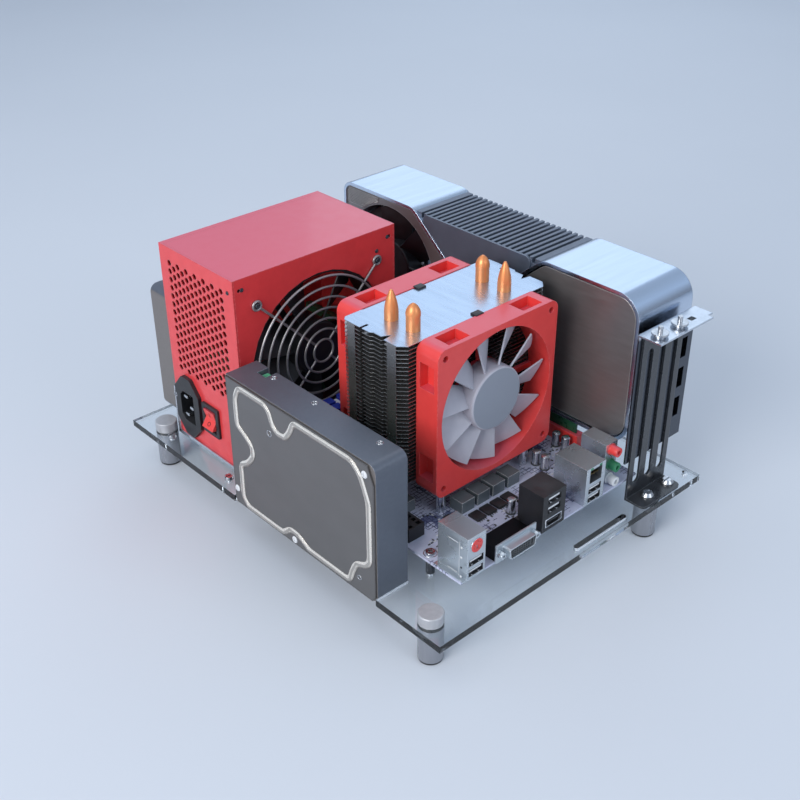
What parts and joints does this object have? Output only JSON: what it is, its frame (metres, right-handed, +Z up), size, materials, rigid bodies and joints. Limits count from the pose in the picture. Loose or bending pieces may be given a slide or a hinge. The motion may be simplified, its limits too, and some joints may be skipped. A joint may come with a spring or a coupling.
{
  "type": "open air test bench",
  "caption": "Clear plate on four short legs that carries a power supply, disk drives, a small mainboard with a twin-fan tower cooler and an upright graphics card.",
  "frame": {"origin": "middle of the plate's outline, at the level of the feet's undersides", "axes": "+Z up, -Y towards the side of the mainboard's sockets, +X towards the graphics card"},
  "size_m": [0.256, 0.336, 0.188],
  "materials": {
    "clear_sheet": "polished clear sheet",
    "leg_metal": "satin",
    "dark_rubber": "matte",
    "bright_steel": "brushed",
    "yellow_brass": "machined",
    "black_steel": "satin black",
    "red_paint": "smooth satin red",
    "polished_metal": "polished",
    "green_board": "solder mask",
    "red_plastic": "smooth red",
    "grey_plastic": "satin light grey",
    "black_plastic": "satin black",
    "dark_plastic": "matte dark grey",
    "cast_alloy": "cast, fine grain",
    "white_board": "white solder mask",
    "jack_plastic": "red, green and white",
    "blue_metal": "blue anodised",
    "fin_metal": "bright rolled sheet",
    "copper": "polished copper",
    "card_chrome": "satin chrome",
    "black_metal": "satin black",
    "dark_metal": "satin dark grey"
  },
  "bodies": {
    "bench": {"audio_block": "polished_metal", "audio_jacks": "jack_plastic", "base_plate": "clear_sheet", "board_power_sockets": "black_plastic", "board_screws": "bright_steel", "board_standoffs": "yellow_brass", "capacitors": "bright_steel", "card_board": "green_board", "card_bracket": "bright_steel", "card_fan_plate": "black_plastic", "card_fins_bottom": "black_metal", "card_fins_far": "black_metal", "card_fins_top": "black_metal", "card_frame": "card_chrome", "card_heatsink": "black_metal", "card_plate": "dark_metal", "card_shroud_near": "black_plastic", "card_slot": "red_plastic", "card_studs": "bright_steel", "card_support": "black_steel", "card_support_screws": "bright_steel", "cooler_base": "polished_metal", "cooler_fins": "fin_metal", "cooler_pipes": "copper", "cpu_socket": "polished_metal", "drive_a_board": "green_board", "drive_a_body": "cast_alloy", "drive_a_cover": "bright_steel", "drive_b_board": "green_board", "drive_b_body": "cast_alloy", "drive_b_cover": "bright_steel", "drive_brackets": "polished_metal", "front_fan_frame": "red_plastic", "hdmi_usb_block": "black_plastic", "keyboard_usb_block": "polished_metal", "lan_usb_block": "polished_metal", "leg_caps": "bright_steel", "leg_feet": "dark_rubber", "legs": "leg_metal", "main_board": "white_board", "memory_modules": "blue_metal", "memory_slots": "black_plastic", "plate_screws": "bright_steel", "power_chokes": "dark_plastic", "psu_board": "green_board", "psu_bracket": "polished_metal", "psu_chassis": "red_paint", "psu_cover": "red_paint", "psu_fan_frame": "black_plastic", "psu_fan_guard": "polished_metal", "psu_inlet": "black_plastic", "psu_switch_frame": "black_plastic", "rear_fan_frame": "red_plastic", "video_socket": "polished_metal"},
    "front_fan": {"front_fan_rotor": "grey_plastic"},
    "rear_fan": {"rear_fan_rotor": "grey_plastic"},
    "supply_fan": {"psu_fan_rotor": "black_plastic"},
    "card_fan_far": {"card_rotor_far": "black_plastic"},
    "card_fan_near": {"card_rotor_near": "black_plastic"},
    "rocker": {"psu_switch_rocker": "red_plastic"}
  },
  "joints": [
    {"name": "front_fan_spin", "type": "hinge", "parent": "bench", "child": "front_fan", "pos_m": [-0.0065, -0.085, 0.1145], "axis": [0, 1, 0], "continuous": true},
    {"name": "rear_fan_spin", "type": "hinge", "parent": "bench", "child": "rear_fan", "pos_m": [-0.0065, -0.01, 0.1145], "axis": [0, 1, 0], "continuous": true},
    {"name": "supply_fan_spin", "type": "hinge", "parent": "bench", "child": "supply_fan", "pos_m": [-0.039, 0.058, 0.107], "axis": [0, 1, 0], "continuous": true},
    {"name": "card_fan_far_spin", "type": "hinge", "parent": "bench", "child": "card_fan_far", "pos_m": [0.08, 0.094, 0.12075], "axis": [1, 0, 0], "continuous": true},
    {"name": "card_fan_near_spin", "type": "hinge", "parent": "bench", "child": "card_fan_near", "pos_m": [0.118, -0.09, 0.12075], "axis": [1, 0, 0], "continuous": true},
    {"name": "rocker_tilt", "type": "hinge", "parent": "bench", "child": "rocker", "pos_m": [-0.104, 0.085, 0.0595], "axis": [0, 1, 0], "range_deg": [-18, 0]}
  ]
}
